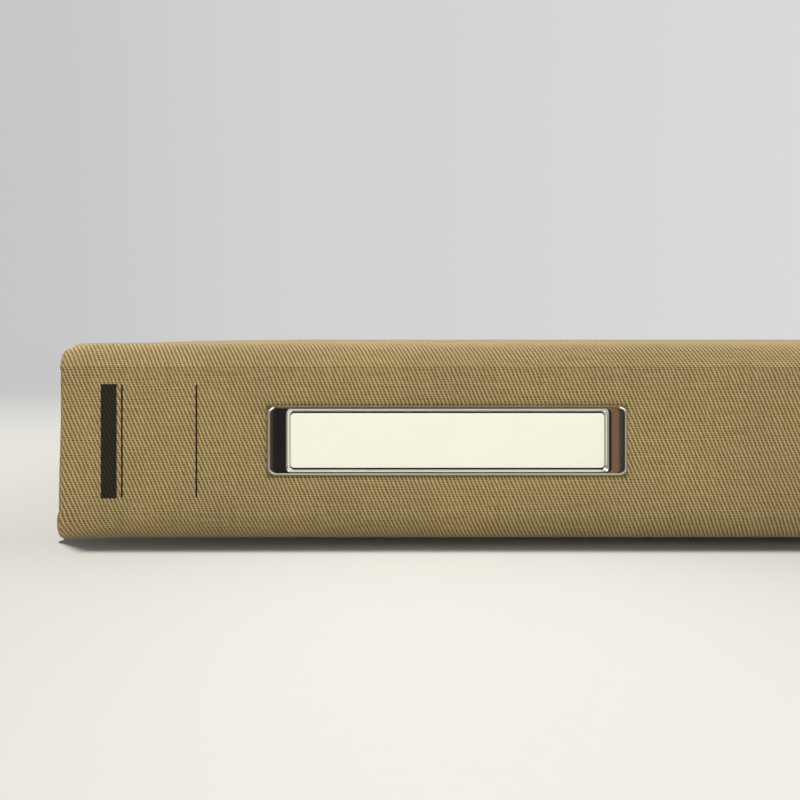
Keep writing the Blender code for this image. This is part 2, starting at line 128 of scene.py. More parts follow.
RING_COUNT = 30
RING_PITCH = 9.5 * MM
RING_RADIUS = 13.2 * MM
WIRE_RADIUS = 1.0 * MM
RING_HEIGHT = 18.5 * MM
BLADE_HALF_LENGTH = 140.8 * MM
BLADE_INNER = 0.2 * MM
BLADE_OUTER = 9.4 * MM
BLADE_THICK = 1.0 * MM
POST_X = 12 * RING_PITCH
POST_CUT_X = 3.6 * MM         # half of the blades' cut-out round a post
POST_CUT_Y = 3.5 * MM
PLATE_THICK = 0.7 * MM

CREASE_STEPS = 6              # mesh steps along rounded parts
BEVEL_STEPS = 18
EDGE_STEPS = 6
FOLD_STEPS = 6
CORNER_STEPS = 8


# ---- Mesh helpers ----

def add_object(name, data):
    item = bpy.data.objects.new(name, data)
    bpy.context.scene.collection.objects.link(item)
    return item


class Skin:
    """A surface gathered face by face. A corner is a pair: a point, and its place on the
    map that the weave follows, both in metres. Tubes, the label frame and the bands round
    the covers' edges have faces that point inwards. Every material shows on both sides."""

    def __init__(self):
        self.points = []
        self.faces = []
        self.maps = []

    def face(self, corners):
        """Adds a face from its corners, in order round it."""
        start = len(self.points)
        self.faces.append(tuple(range(start, start + len(corners))))
        for point, coords in corners:
            self.points.append(tuple(point))
            self.maps.append(coords)

    def grid(self, rows, flip=False):
        """Adds quads between rows of corners. flip turns them to face the other way."""
        for low, high in zip(rows, rows[1:]):
            for c in range(len(low) - 1):
                ring = [low[c], low[c + 1], high[c + 1], high[c]]
                if flip:
                    ring.reverse()
                self.face(ring)

    def rod(self, rows, flip=False):
        """Adds a grid between closed rings, and a face over each end."""
        self.grid(rows, flip)
        near, far = rows[0][:-1], rows[-1][:-1]
        (far if flip else near).reverse()
        self.face(near)
        self.face(far)

    def finish(self, name, material, sharp=40, weld=2e-6):
        mesh = bpy.data.meshes.new(name)
        mesh.from_pydata(self.points, [], self.faces)
        layer = mesh.uv_layers.new(name="weave")
        layer.data.foreach_set("uv", [1000 * value for coords in self.maps for value in coords])
        shape = bmesh.new()
        shape.from_mesh(mesh)
        bmesh.ops.remove_doubles(shape, verts=shape.verts, dist=weld)
        bmesh.ops.dissolve_degenerate(shape, edges=shape.edges, dist=weld)
        shape.to_mesh(mesh)
        shape.free()
        mesh.shade_smooth()
        mesh.set_sharp_from_angle(angle=math.radians(sharp))
        mesh.materials.append(material)
        return add_object(name, mesh)


def one_sheet(name, rows, material, flip=False):
    """A piece made of a single grid."""
    skin = Skin()
    skin.grid(rows, flip)
    return skin.finish(name, material)


def evenly(steps, start=0.0, stop=math.pi / 2):
    """Evenly spaced values, both ends included."""
    return [start + (stop - start) * index / steps for index in range(steps + 1)]


def spread(start, stop, step):
    """Evenly spaced values, both ends included, about a step apart."""
    return evenly(max(1, round(abs(stop - start) / step)), start, stop)


def smooth(value):
    value = max(0.0, min(1.0, value))
    return value * value * (3 - 2 * value)


def smooth_keys(keys, steps):
    """Key tuples joined by a Catmull-Rom curve."""
    out = []
    for index in range(len(keys) - 1):
        a = keys[max(index - 1, 0)]
        b = keys[index]
        c = keys[index + 1]
        d = keys[min(index + 2, len(keys) - 1)]
        for step in range(steps):
            t = step / steps
            out.append(tuple(
                0.5 * (2 * q + (r - p) * t + (2 * p - 5 * q + 4 * r - o) * t * t
                       + (3 * q - p - 3 * r + o) * t ** 3)
                for p, q, r, o in zip(a, b, c, d)))
    out.append(keys[-1])
    return out


def heading(points, index):
    """Direction of an open path at one of its points."""
    ahead = points[min(index + 1, len(points) - 1)]
    return (ahead - points[max(index - 1, 0)]).normalized()


def tube(skin, path, radii, sides):
    """A closed wire along a path in any plane that X doesn't lie in."""
    rings = []
    for index, (point, radius) in enumerate(zip(path, radii)):
        along = heading(path, index)
        one = along.cross(Vector((1, 0, 0))).normalized()
        two = along.cross(one).normalized()
        ring = []
        for angle in evenly(sides, 0.0, 2 * math.pi):
            at = point + one * (radius * math.cos(angle)) + two * (radius * math.sin(angle))
            ring.append((at, (radius * angle, index * WIRE_RADIUS)))
        rings.append(ring)
    skin.rod(rings, flip=True)


def turned(skin, start, axis, profile, sides):
    """A closed turned solid, from a profile of (place along its axis, radius) in millimetres."""
    path = [start + MM * along * Vector(axis) for along, _ in profile]
    tube(skin, path, [MM * radius for _, radius in profile], sides)


def bar(skin, outline, x0, x1):
    """A closed solid: a flat (y, z) outline, anticlockwise seen from +X, drawn along X."""
    skin.rod([[((x, y, z), (x, y + z)) for y, z in outline + outline[:1]] for x in (x0, x1)])


# ---- Material helpers ----

class Nodes:
    """Each call adds one node to a tree and gives its output."""

    def __init__(self, tree):
        self.tree = tree

    def put(self, node, socket, value):
        if isinstance(value, bpy.types.NodeSocket):
            self.tree.links.new(value, node.inputs[socket])
        else:
            node.inputs[socket].default_value = value

    def add(self, kind, inputs):
        node = self.tree.nodes.new("ShaderNode" + kind)
        for socket, value in inputs.items():
            self.put(node, socket, value)
        return node

    def math(self, operation, a, b=0.0, c=0.0):
        node = self.add("Math", {0: a, 1: b, 2: c})
        node.operation = operation
        return node.outputs[0]

    def mapped(self, value, low, high, to_low=0.0, to_high=1.0):
        """A smooth step, which falls where low is above high."""
        node = self.add("MapRange", {"Value": value, "From Min": low, "From Max": high,
                                     "To Min": to_low, "To Max": to_high})
        node.interpolation_type = "SMOOTHSTEP"
        return node.outputs[0]

    def mix(self, factor, a, b, blend="MIX"):
        node = self.add("Mix", {0: factor})
        node.data_type = "RGBA"
        node.blend_type = blend
        for socket, value in ((6, a), (7, b)):
            self.put(node, socket, (*value, 1.0) if isinstance(value, tuple) else value)
        return node.outputs[2]

    def layers(self, parts, base, steps):
        """Lays colours over a base. Each step names a part, where its colour starts to
        show, where it hides what is below, and the colour."""
        for part, start, full, colour in steps:
            base = self.mix(self.mapped(parts[part], start, full), base, colour)
        return base

    def split(self, vector):
        return self.add("SeparateXYZ", {0: vector}).outputs

    def switch(self, factor, one, two):
        return self.add("MixShader", {0: factor, 1: one, 2: two}).outputs[0]


class Shade(Nodes):
    """Builds one procedural material."""

    def __init__(self, name):
        self.material = bpy.data.materials.new(name)
        self.material.use_nodes = True
        super().__init__(self.material.node_tree)
        self.shader = self.tree.nodes["Principled BSDF"]

    def place(self):
        """Position on the object itself, in metres."""
        return self.add("TexCoord", {}).outputs["Object"]

    def weave_map(self):
        node = self.add("UVMap", {})
        node.uv_map = "weave"
        return self.split(node.outputs[0])[:2]

    def vector(self, x=0.0, y=0.0, z=0.0):
        return self.add("CombineXYZ", {0: x, 1: y, 2: z}).outputs[0]

    def noise(self, vector, scale, detail=2.0, roughness=0.5):
        return self.add("TexNoise", {"Vector": vector, "Scale": scale, "Detail": detail,
                                     "Roughness": roughness}).outputs["Fac"]

    def stretched(self, vector, factors, scale=1.0, detail=2.0, roughness=0.5):
        """Noise on a place that is stretched first."""
        node = self.add("VectorMath", {0: vector, 1: factors})
        node.operation = "MULTIPLY"
        return self.noise(node.outputs[0], scale, detail, roughness)

    def dots(self, vector, scale, full, gone):
        """Mask of scattered round dots, whose edges fade between two distances."""
        cells = self.add("TexVoronoi", {"Vector": vector, "Scale": scale})
        return self.mapped(cells.outputs["Distance"], full, gone, 1.0, 0.0)

    def colours(self, factor, *stops):
        """A colour ramp from (position, colour) stops."""
        node = self.add("ValToRGB", {0: factor})
        ramp = node.color_ramp
        while len(ramp.elements) < len(stops):
            ramp.elements.new(0.5)
        for element, (position, colour) in zip(ramp.elements, stops):
            element.position = position
            element.color = (*colour, 1.0)
        return node.outputs[0]

    def blend(self, one, two, share):
        """A share of one value, with the rest from another."""
        return self.math("MULTIPLY_ADD", one, share, self.math("MULTIPLY", two, 1 - share))

    def stain_or_shade(self, base, mask, share, colour):
        """Lays a colour over a base where a mask shows it, at most at a share."""
        return self.mix(self.math("MULTIPLY", mask, share), base, colour)

    def centred(self, value, share, base=0.0):
        """Adds a share of a value about its middle, 0.5, to a base."""
        return self.math("MULTIPLY_ADD", self.math("SUBTRACT", value, 0.5), share, base)

    def bump(self, height, distance, strength):
        node = self.add("Bump", {"Height": height, "Distance": distance, "Strength": strength})
        self.put(self.shader, "Normal", node.outputs[0])

    def set(self, **values):
        for name, value in values.items():
            self.put(self.shader, name.replace("_", " "), value)
        return self.material


def dimmed(colour, share):
    return tuple(share * part for part in colour)


# ---- Materials ----

# Yarn colours, from painted shade in the weave's dips up to painted highlight on its crowns.
YARN_SHADOW = (0.050, 0.028, 0.009)
YARN_DARK = (0.195, 0.132, 0.046)
YARN = (0.385, 0.285, 0.126)
YARN_HIGHLIGHT = (0.600, 0.480, 0.270)
LINT = (0.62, 0.52, 0.33)
FRAME_SHADOW_PAINT = (0.030, 0.019, 0.008)            # painted shadow cast by the label frame on the cloth
INK = (0.004, 0.004, 0.003)
INK_PAINTED_SHEEN = (0.021, 0.019, 0.014)
# Printed bar and thin rules: centre from the upper end, width and height, millimetres.
PRINTS = ((10.19, 3.35, 23.9), (12.93, 0.40, 23.6), (28.5, 0.40, 23.5))
HOLDER_RISE = 0.25 * MM                   # the frame sits this much above its solid's middle


def twill(name):
    """Olive 3/1 twill: steep warp floats in diagonal ribs, and the printed bars."""
    s = Shade(name)
    u, v = s.weave_map()
    flat = s.vector(u, v)

    # Uneven yarns: slow wander of both sets.
    wander = s.stretched(flat, (0.9, 0.12, 1.0))
    sway = s.stretched(flat, (0.05, 0.8, 1.0))
    across = s.math("DIVIDE", s.math("ADD", u, s.math("MULTIPLY", v, SKEW)), WARP)
    across = s.centred(wander, 1.5, across)
    up = s.centred(sway, 0.9, s.math("DIVIDE", v, WEFT))

    # Each weft shows as one short dip in every fourth warp, one warp on at each weft.
    pick = s.math("FLOOR", up)
    in_weft = s.math("SUBTRACT", s.math("SUBTRACT", up, pick), 0.5)
    dip_at = s.math("MULTIPLY_ADD", s.math("ADD", across, pick), 0.25, 0.5)
    aside = s.centred(s.math("FRACT", dip_at), 4 / DIP_REACH[0])
    beyond = s.math("MULTIPLY", in_weft, 1 / DIP_REACH[1])
    away = s.math("ADD", s.math("MULTIPLY", aside, aside), s.math("MULTIPLY", beyond, beyond))
    dip = s.mapped(away, 0.10, 1.25, 1.0, 0.0)

    # Between the dips the warp floats join into diagonal ribs of rounded yarns.
    turn = s.centred(s.math("ADD", across, up), math.pi / 2)
    rib = s.math("MULTIPLY_ADD", s.math("COSINE", turn), -0.5, 0.5)
    in_warp = s.math("SUBTRACT", s.math("FRACT", across), 0.5)
    crown = s.math("MULTIPLY_ADD", s.math("MULTIPLY", in_warp, in_warp), -4.0, 1.0)
    relief = s.math("MULTIPLY_ADD", rib, RIB_HEIGHT, s.math("MULTIPLY", crown, YARN_HEIGHT))
    relief = s.math("ADD", relief, s.math("MULTIPLY_ADD", dip, -DIP_DEPTH, FLAT_HEIGHT))

    # Colour follows the relief: painted shade in the dips and grooves, painted highlight on the
    # yarns' crowns, with fuzz and slubs along both sets of yarns.
    fuzz = s.noise(flat, 9.0, 3.0, 0.7)
    tone = s.centred(fuzz, 0.30, relief)
    tone = s.centred(s.stretched(flat, (4.0, 0.10, 1.0)), 0.26, tone)
    tone = s.centred(s.stretched(flat, (0.12, 2.4, 1.0)), 0.22, tone)
    colour = s.colours(tone, (0.0, YARN_SHADOW), (0.40, YARN_DARK), (0.70, YARN),
                       (1.0, YARN_HIGHLIGHT))
    tint = s.colours(s.noise(flat, 0.035), (0.30, (0.93, 0.93, 0.95)), (0.70, (1.06, 1.05, 1.02)))
    colour = s.mix(1.0, colour, tint, "MULTIPLY")
    lint = s.dots(flat, 0.028, 0.006, 0.011)
    colour = s.stain_or_shade(colour, lint, 0.75, LINT)
    # Painted shadow of the label frame on the cloth, deepest below it.
    colour = s.stain_or_shade(colour, painted_frame_shadow(s, u, v), 0.62, FRAME_SHADOW_PAINT)

    ink = printed_marks(s, u, v, fuzz)
    # The ink turns lighter where the weave's relief stands up, a painted sheen, and varies with the
    # fuzz and slubs.
    colour = s.stain_or_shade(colour, ink, 0.98, s.colours(tone, (0.2, INK), (0.8, INK_PAINTED_SHEEN)))

    s.bump(s.math("MULTIPLY_ADD", fuzz, 0.12, relief), WEAVE_DEPTH, 0.9)
    rough = s.math("SUBTRACT", 0.95, s.math("MULTIPLY", ink, 0.28))
    return s.set(Base_Color=colour, Roughness=rough, Sheen_Weight=0.12,
                 Sheen_Roughness=0.45, Specular_IOR_Level=0.22)


def off_middle(s, value, middle):
    return s.math("ABSOLUTE", s.math("SUBTRACT", value, middle))


def painted_frame_shadow(s, u, v):
    """Mask of the painted shadow that the label frame casts on the cloth, most below it."""
    over = off_middle(s, v, 1000 * (HOLDER_Z + HOLDER_RISE) - 0.30)
    side = off_middle(s, u, 1000 * HOLDER_X)
    outside = s.math("MAXIMUM", s.math("SUBTRACT", over, 1000 * HOLDER_HALF_Z),
                     s.math("SUBTRACT", side, 1000 * HOLDER_HALF_X))
    return s.mapped(outside, -0.25, 0.55, 1.0, 0.0)


def printed_marks(s, u, v, fuzz):
    """Mask of the plain printed bar and two thin rules near the spine's upper end."""
    ragged = s.centred(fuzz, 0.16)
    total = 0.0
    for centre, width, height in PRINTS:
        side = s.math("ADD", off_middle(s, u, centre - 1000 * END_X), ragged)
        over = s.math("ADD", off_middle(s, v, 1000 * HOLDER_Z), ragged)
        inside = s.math("MULTIPLY",
                        s.mapped(side, width / 2 - 0.06, width / 2 + 0.06, 1.0, 0.0),
                        s.mapped(over, height / 2 - 0.08, height / 2 + 0.08, 1.0, 0.0))
        total = s.math("MAXIMUM", inside, total)
    return total


def paper(name, light, dark, scale=900.0):
    """Uncoated sheet: felted fibres, faint flecks and a soft tooth."""
    s = Shade(name)
    at = s.place()
    fibre = s.stretched(at, (1.0, 0.35, 1.0), scale, 4.0, 0.65)
    cloud = s.noise(at, 60.0, 3.0)
    tone = s.blend(cloud, fibre, 0.45)
    fleck = s.dots(at, 520.0, 0.05, 0.10)
    colour = s.stain_or_shade(s.colours(tone, (0.25, dark), (0.75, light)), fleck, 0.25, dimmed(dark, 0.6))
    s.bump(fibre, 0.03 * MM, 0.6)
    return s.set(Base_Color=colour, Roughness=s.mapped(tone, 0.2, 0.8, 0.72, 0.88),
                 Specular_IOR_Level=0.3)


def plated(name, colour, smoothest, roughest, streak):
    """Bright plating: faint drawing streaks, tiny pits and handling marks."""
    s = Shade(name)
    at = s.place()
    drawn = s.stretched(at, streak, 1.0, 4.0, 0.6)
    smear = s.noise(at, 180.0, 3.0)
    pits = s.dots(at, 900.0, 0.04, 0.09)
    mixed = s.blend(smear, drawn, 0.6)
    tone = s.colours(mixed, (0.2, dimmed(colour, 0.93)), (0.8, colour))
    tone = s.stain_or_shade(tone, pits, 0.18, dimmed(colour, 0.45))
    s.bump(s.math("MULTIPLY_ADD", pits, -0.5, drawn), 0.006 * MM, 0.5)
    return s.set(Base_Color=tone, Roughness=s.mapped(mixed, 0.3, 0.7, smoothest, roughest),
                 Metallic=1.0)


def painted_shadow_lip(name):
    """Near-black painted shadow for the gap between the frame's lip and the card, faintly mottled.
    """
    s = Shade(name)
    stain_or_shade = s.noise(s.place(), 900.0, 3.0)
    colour = s.colours(stain_or_shade, (0.3, (0.006, 0.006, 0.004)), (0.7, (0.020, 0.018, 0.012)))
    s.bump(stain_or_shade, 0.01 * MM, 0.4)
    return s.set(Base_Color=colour, Roughness=s.mapped(stain_or_shade, 0.3, 0.7, 0.5, 0.7),
                 Specular_IOR_Level=0.05)


def grey_board(name):
    """Pressed board: thin layers seen at its edges, and flecks."""
    s = Shade(name)
    at = s.place()
    layers = s.stretched(at, (1.0, 1.0, 9.0), 260.0, 4.0, 0.6)
    flecks = s.noise(at, 1400.0)
    tone = s.blend(flecks, layers, 0.4)
    s.bump(tone, 0.08 * MM, 0.7)
    return s.set(Base_Color=s.colours(tone, (0.3, (0.23, 0.21, 0.18)),
                                      (0.7, (0.42, 0.39, 0.34))), Roughness=0.93)


# ---- Cloth over the boards ----

RIPPLES = ((9, 13, 3.1, 0.09 * MM), (60, 60, 7.7, 0.02 * MM))     # scales, slice, depth


def ripple(u, v):
    """How far the glued cloth stands in from true, in metres, at a place on the cloth."""
    return sum(depth * (0.5 + 0.5 * noise.noise(Vector((u * scale_u, v * scale_v, slice_at))))
               for scale_u, scale_v, slice_at, depth in RIPPLES)


def hinge_section(height, puff):
    """Outer face of a hinge strip as (depth, height) points above the cover's outer face.
    A tight crease leaves the spine, then a bevel runs down and ends level with the cover.
    puff, from 0 to 1, fills the bevel out, as the turned-in cloth does at the ends."""
    reach = NEAR_Y - FACE_Y

    # In shares of its reach and height: where the bevel lands, and its curve's handles.
    land = 0.78 - 0.28 * puff
    one = Vector((0.24 - 0.22 * puff, 0.58 - 0.18 * puff))
    two = 0.40 - 0.30 * puff
    leave = 0.06                  # share of the bevel that the crease takes

    def bevel(t):
        across = 3 * (1 - t) ** 2 * t * one.x + 3 * (1 - t) * t * t * two + t ** 3 * land
        up = (1 - t) ** 3 + 3 * (1 - t) ** 2 * t * one.y
        return Vector((reach * across, height * up))

    top = Vector((0.0, height + CREASE))
    corner = Vector((0.0, height))
    points = [(1 - t) ** 2 * top + 2 * t * (1 - t) * corner + t * t * bevel(leave)
              for t in evenly(CREASE_STEPS, 0.0, 1.0)]
    points += [bevel(t) for t in evenly(BEVEL_STEPS, leave, 1.0)[1:]]
    return points + [Vector(((land + 1) / 2 * reach, 0.0)), Vector((reach, 0.0))]


def lengths(points):
    """Distance along a run of points, at each of them."""
    total = [0.0]
    for one, two in zip(points, points[1:]):
        total.append(total[-1] + (two - one).length)
    return total


UPPER_HEIGHT = THICKNESS + NEAR_LIFT - SPINE_HIGH
LOWER_HEIGHT = SPINE_LOW
SPINE_TOP = SPINE_HIGH - CREASE                 # where the flat spine cloth ends
SPINE_BOTTOM = SPINE_LOW + CREASE
FRONT_V = SPINE_TOP + lengths(hinge_section(UPPER_HEIGHT, UPPER_FILL[0]))[-1]
BACK_V = SPINE_BOTTOM - lengths(hinge_section(LOWER_HEIGHT, LOWER_FILL[0]))[-1]


def near_end(x, width):
    """1 at the binder's ends, falling to 0 this far in from them."""
    return 1 - smooth((END_X - abs(x)) / width)


def droop(x, y, inward):
    """How far the front cover's corners by the spine sag. inward is 1 on the back cover,
    whose inner side is up, and -1 on the front cover."""
    if inward > 0:
        return 0.0
    by_spine = 1 - smooth((y - NEAR_Y) / DROOP_WIDTH)
    by_spine *= smooth((y - FACE_Y) / DROOP_START)
    return CORNER_DROOP * near_end(x, DROOP_WIDTH) * by_spine


def slope(x, y, inward):
    """How far the front cover's pieces stand above a level cover."""
    if inward > 0:
        return 0.0
    back = max(0.0, (y - NEAR_Y) / (FORE_Y - NEAR_Y))
    level = NEAR_LIFT + (FORE_LIFT - NEAR_LIFT) * back
    return level - END_SAG * smooth(2 * back) * near_end(x, SAG_WIDTH) - droop(x, y, inward)


def lean(z):
    """How far the cloth's ends stand out past the boards at a height."""
    return LEAN_OUT * smooth((LEAN_TOP - z) / LEAN_DROP)


def follow_lean(x):
    return smooth((abs(x) - END_X + LEAN_REACH) / LEAN_REACH)


def make_hinge(name, outer_z, inward, height, v_start, puff, end_puff, spill, material):
    """The cloth between spine and cover: two layers, folded over at both ends."""
    round_end = STRIP_THICK / 2
    fold_x = END_X - round_end
    xs = spread(-fold_x, fold_x, 2 * MM)
    columns = []
    for x in xs:
        by_end = 1 - smooth((END_X - abs(x) - BULGE_INSET) / END_BULGE)
        columns.append(hinge_section(height, puff + (end_puff - puff) * by_end))
    runs = lengths(hinge_section(height, puff))

    def place(column, index, x, inset):
        along = heading(column, index)
        at = column[index] - Vector((along.y, -along.x)) * inset
        y = FACE_Y + at.x
        z = outer_z + inward * at.y - droop(x, y, inward)
        share = runs[index] / runs[-1]

        # The end leans like the spine's, spills out along the bevel and tucks in by the cover.
        out = lean(z) * (1 - smooth(share)) + spill * math.sin(math.pi * share ** 0.6)
        out -= 1.6 * spill * smooth((share - 0.5) / 0.5)
        return x + math.copysign(out * follow_lean(x), x), y, z

    # Once round the folded strip: its section, place along X, inset, and place on the map.
    half_turn = evenly(FOLD_STEPS, 0.0, math.pi)[1:-1]
    stations = [(column, x, None, x) for x, column in zip(xs, columns)]
    stations += [(columns[-1], fold_x + round_end * math.sin(angle),
                  round_end * (1 - math.cos(angle)), END_X + round_end * angle)
                 for angle in half_turn]
    stations += [(column, x, STRIP_THICK, 2 * END_X + round_end * math.pi - x)
                 for x, column in zip(reversed(xs), reversed(columns))]
    stations += [(columns[0], -fold_x - round_end * math.sin(angle),
                  round_end * (1 + math.cos(angle)), -END_X - round_end * (math.pi - angle))
                 for angle in half_turn]
    stations.append(stations[0])
    rows = []
    for index, run in enumerate(runs):
        v = v_start - inward * run
        rows.append([(place(column, index, x, ripple(x, v) if inset is None else inset),
                      (u, v)) for column, x, inset, u in stations])
    return one_sheet(name, rows, material, flip=inward > 0)


def edge_profile():
    """Section of cloth round a board's edge, as (inset, depth, arc length past the edge)."""
    flank = SHELL - 2 * EDGE_ROUND
    quarter = EDGE_ROUND * (math.pi / 2 - 1)      # how far the first bend runs past the edge
    steps = [(EDGE_ROUND * (1 - math.sin(angle)), EDGE_ROUND * (1 - math.cos(angle)),
              EDGE_ROUND * (angle - 1)) for angle in evenly(EDGE_STEPS)]
    steps += [(0.0, EDGE_ROUND + share * flank, quarter + share * flank)
              for share in (0.5, 1.0)]
    steps += [(EDGE_ROUND * (1 - math.cos(angle)), SHELL - EDGE_ROUND * (1 - math.sin(angle)),
               quarter + flank + EDGE_ROUND * angle) for angle in evenly(EDGE_STEPS)[1:]]
    past = steps[-1][2]
    return steps + [(inset, SHELL, past + inset - EDGE_ROUND)
                    for inset in spread(EDGE_ROUND, TURN_IN, 4 * MM)[1:]]


def near_limit(distance):
    """Deepest that cloth lies this far in from a board's hinge edge, where the doubled
    layer rounds the board's edge down to the hinge strip."""
    if distance >= EDGE_ROUND:
        return SHELL
    rounded = math.sqrt(max(0.0, 1 - (1 - distance / EDGE_ROUND) ** 2))
    return STRIP_THICK + (SHELL - STRIP_THICK) * rounded


NEAR_STEPS = [EDGE_ROUND * (1 - math.cos(angle)) for angle in evenly(EDGE_STEPS)]


def make_cover_cloth(name, outer_z, inward, v_near, material):
    """Cloth over a cover's board, turned in at the fore edge and both ends."""
    skin = Skin()
    ys = [NEAR_Y + distance for distance in NEAR_STEPS[:-1]]
    ys += spread(NEAR_Y + NEAR_STEPS[-1], FORE_Y - CORNER_ROUND, 3 * MM)
    xs = spread(-END_X + CORNER_ROUND, END_X - CORNER_ROUND, 3 * MM)

    def put(x, y, depth):
        depth = min(depth, near_limit(y - NEAR_Y))
        return x, y, outer_z + inward * depth + slope(x, y, inward)

    def v_at(y):
        return v_near - inward * (y - NEAR_Y)

    def outer(x, y):
        return put(x, y, ripple(x, v_at(y))), (x, v_at(y))

    # Outer face.
    wide = [-END_X + EDGE_ROUND, *xs, END_X - EDGE_ROUND]
    skin.grid([[outer(x, y) for x in wide] for y in ys], flip=inward > 0)
    skin.grid([[outer(x, y) for x in xs] for y in (ys[-1], FORE_Y - EDGE_ROUND)], flip=inward > 0)

    # Path round the three turned edges: place, outward direction, and which side it is on.
    def corner_path(sign, start, stop):
        for angle in evenly(CORNER_STEPS, start, stop)[1:-1]:
            nx, ny = math.cos(angle), math.sin(angle)
            yield (sign * (END_X - CORNER_ROUND) + CORNER_ROUND * nx,
                   FORE_Y - CORNER_ROUND * (1 - ny), nx, ny, "corner")

    path = [(-END_X, y, -1.0, 0.0, "end") for y in ys]
    path += corner_path(-1, math.pi, math.pi / 2)
    path += [(x, FORE_Y, 0.0, 1.0, "fore") for x in xs]
    path += corner_path(1, math.pi / 2, 0.0)
    path += [(END_X, y, 1.0, 0.0, "end") for y in reversed(ys)]

    rows = []
    for inset, depth, past in edge_profile():
        row = []
        deep = max(inset, CORNER_ROUND)
        for x, y, nx, ny, side in path:
            px = x - nx * inset
            py = y - ny * inset
            if side == "end":
                py = min(y, FORE_Y - deep)
            elif side == "fore":
                px = max(-END_X + deep, min(END_X - deep, x))
            elif inset > CORNER_ROUND:
                px = math.copysign(END_X - inset, x)
                py = FORE_Y - inset
            sunk = ripple(px, v_at(py)) if depth == 0.0 else 0.0
            if side == "corner" and inset >= CORNER_ROUND:
                sunk = -FOLD_LIFT
            map_x = px if side == "fore" else x
            map_y = py if side == "end" else y
            row.append((put(px, py, depth + sunk), (map_x + nx * past, v_at(map_y + ny * past))))
        rows.append(row)
    skin.grid(rows, flip=inward < 0)

    # Small fans where the outer face meets its rounded corners.
    reach = CORNER_ROUND - EDGE_ROUND
    for sign in (-1, 1):
        centre_x = sign * (END_X - CORNER_ROUND)
        centre_y = FORE_Y - CORNER_ROUND
        ring = [outer(centre_x + sign * reach * math.cos(angle),
                      centre_y + reach * math.sin(angle)) for angle in evenly(CORNER_STEPS)]
        for one, two in zip(ring, ring[1:]):
            corners = [outer(centre_x, centre_y), one, two]
            if (sign > 0) == (inward > 0):
                corners.reverse()
            skin.face(corners)
    return skin.finish(name, material)


def spine_levels(step, rise=0.0):
    """Heights up the spine board, each with the deepest that cloth lies there."""
    rounded = [(distance, near_limit(distance)) for distance in NEAR_STEPS[:-1]]
    levels = [(SPINE_LOW + distance - rise, limit) for distance, limit in rounded]
    levels += [(z, SHELL) for z in spread(SPINE_LOW + EDGE_ROUND, SPINE_HIGH - EDGE_ROUND, step)]
    return levels + [(SPINE_HIGH - distance + rise, limit)
                     for distance, limit in reversed(rounded)]


def make_spine_cloth(material):
    """Flat cloth over the spine board, turned in at both ends."""
    ends = edge_profile()
    section = [(-END_X + inset, depth, -END_X - past) for inset, depth, past in reversed(ends)]
    section += [(x, 0.0, x)
                for x in spread(-END_X + EDGE_ROUND, END_X - EDGE_ROUND, 2 * MM)[1:-1]]
    section += [(END_X - inset, depth, END_X + past) for inset, depth, past in ends]
    rows = []
    for level, limit in spine_levels(1.5 * MM):
        row = []
        for x, depth, u in section:
            z = level
            if depth == 0.0:
                z = min(max(level, SPINE_BOTTOM), SPINE_TOP)
                depth = ripple(x, z)
            out = lean(z) * follow_lean(x)
            row.append(((x + math.copysign(out, x), FACE_Y + min(depth, limit), z), (u, z)))
        rows.append(row)
    return one_sheet("spine_covering", rows, material)


# ---- Lining sheets ----

def step_values(low, high, steps_at):
    """Values from low to high, close together near each place in steps_at."""
    values = set(spread(low, high, 10 * MM))
    for place in steps_at:
        values.update(place + offset * STEP_WIDTH for offset in (-1.0, -0.5, 0.0, 0.5, 1.0))
    slack = 1e-9
    return sorted(value for value in values if low - slack <= value <= high + slack)


def lining_depth(distance_in):
    """The sheet lies on the turned-in cloth near the edges and on the board inside."""
    down = smooth((distance_in - TURN_IN) / STEP_WIDTH + 0.5)
    return SHELL + LINING_RISE - LINING_STEP * down


LINING_X = END_X - LINING_INSET
LINING_XS = [-LINING_X, *step_values(-LINING_X, LINING_X, (-END_X + TURN_IN, END_X - TURN_IN)),
             LINING_X]


def make_cover_lining(name, outer_z, inward, material):
    fore = FORE_Y - LINING_INSET
    rows = []

    def add_row(y, face_y, limit, map_y, drop=0.0):
        """One row at y, whose depth is the face's at face_y but no more than limit."""
        row = []
        for x in LINING_XS:
            depth = min(limit, lining_depth(min(END_X - abs(x), FORE_Y - face_y))) - drop
            row.append((Vector((x, y, outer_z + slope(x, y, inward) + inward * depth)), (x, map_y)))
        for end in (0, -1):
            row[end][0].z -= inward * CHAMFER
        rows.append(row)

    for distance in NEAR_STEPS[:-1]:
        add_row(NEAR_Y + distance - LINING_RISE, NEAR_Y, near_limit(distance) + LINING_RISE,
                NEAR_Y + distance)
    for y in step_values(NEAR_Y + EDGE_ROUND, fore, (FORE_Y - TURN_IN,)):
        add_row(y, y, math.inf, y)
    add_row(fore, fore, math.inf, fore + CHAMFER, CHAMFER)
    return one_sheet(name, rows, material, flip=inward < 0)


def make_spine_lining(material):
    rows = []
    for z, limit in spine_levels(5 * MM, LINING_RISE):
        row = [(Vector((x, FACE_Y + min(lining_depth(END_X - abs(x)), limit + LINING_RISE), z)),
                (x, z)) for x in LINING_XS]
        for end in (0, -1):
            row[end][0].y -= CHAMFER
        rows.append(row)
    return one_sheet("spine_lining_sheet", rows, material, flip=True)


# ---- Label holder and card ----

